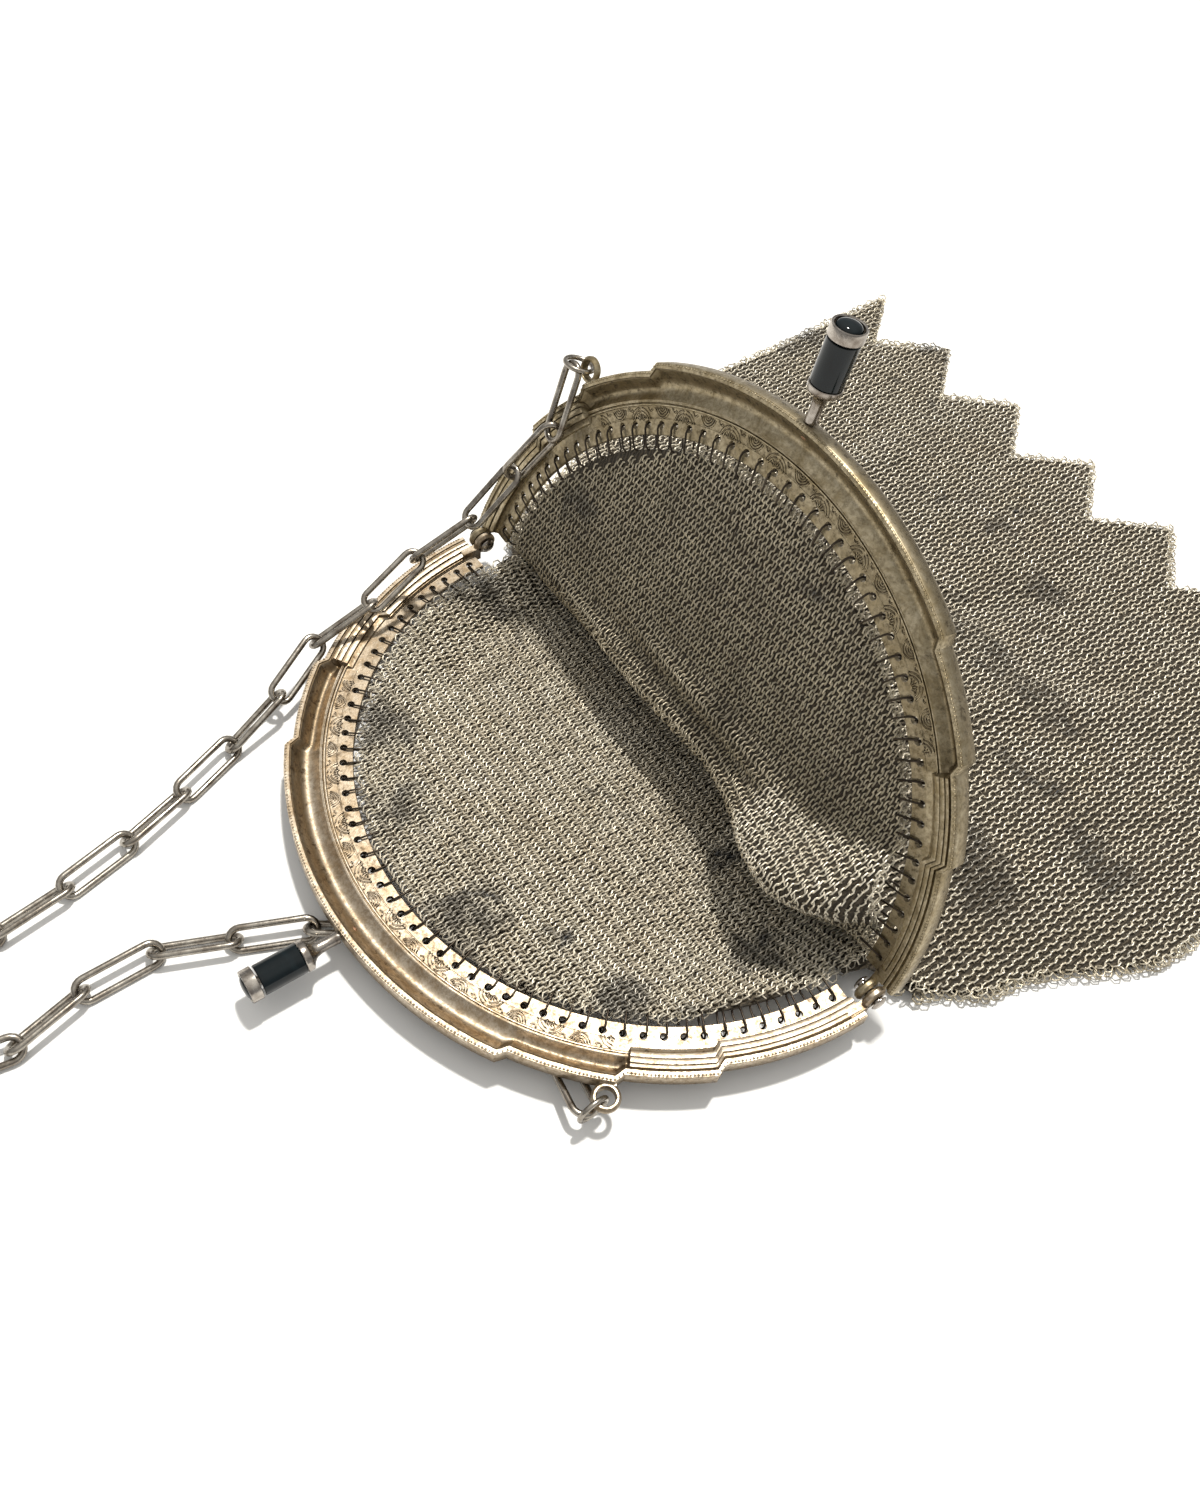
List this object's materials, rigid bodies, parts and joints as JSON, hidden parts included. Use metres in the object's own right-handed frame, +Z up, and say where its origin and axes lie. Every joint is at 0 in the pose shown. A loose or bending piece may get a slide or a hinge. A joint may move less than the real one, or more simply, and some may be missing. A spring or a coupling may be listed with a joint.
{
  "type": "metal mesh evening purse",
  "caption": "Open metal mesh evening purse lying on its back: half-ring jaws, kiss-lock clasp with onyx barrels, zigzag hem and long oval link chain.",
  "frame": {"origin": "on the table under the middle of the whole purse", "axes": "+X along the hinge line from hinge a to hinge b, +Y towards the bag's toothed hem, +Z up off the table"},
  "size_m": [0.1704, 0.2748, 0.0878],
  "materials": {
    "jaw_bright": "worn silver-gold plate, polished edges, tarnish in the grooves",
    "jaw_shade": "worn silver-gold plate with darker tarnish",
    "silver": "soft polished silver plate",
    "onyx": "polished black stone",
    "ring_mesh": "fine linked rings, plated, tarnished in patches",
    "chain": "worn plated wire"
  },
  "bodies": {
    "root": {"jaw_lower": "jaw_bright", "clasp_post_lower": "silver", "onyx_barrel_lower": "onyx", "onyx_cabochon_lower": "onyx", "jump_ring_lower": "chain", "jaw_upper": "jaw_shade", "clasp_post_upper": "silver", "onyx_barrel_upper": "onyx", "onyx_cabochon_upper": "onyx", "jump_ring_upper": "chain", "hinge_pin_a": "silver", "hinge_pin_b": "silver", "mesh_bag": "ring_mesh", "chain_link_01": "chain", "chain_link_02": "chain", "chain_link_03": "chain", "chain_link_04": "chain", "chain_link_05": "chain", "chain_link_06": "chain", "chain_link_07": "chain", "chain_link_08": "chain", "chain_link_09": "chain", "chain_link_10": "chain", "chain_link_11": "chain", "chain_link_12": "chain", "chain_link_13": "chain", "chain_link_14": "chain", "chain_link_15": "chain", "chain_link_16": "chain", "chain_link_17": "chain", "chain_link_18": "chain", "chain_link_19": "chain", "chain_link_20": "chain", "chain_link_21": "chain", "chain_link_22": "chain", "chain_link_23": "chain", "chain_link_24": "chain", "chain_link_25": "chain"}
  },
  "joints": []
}
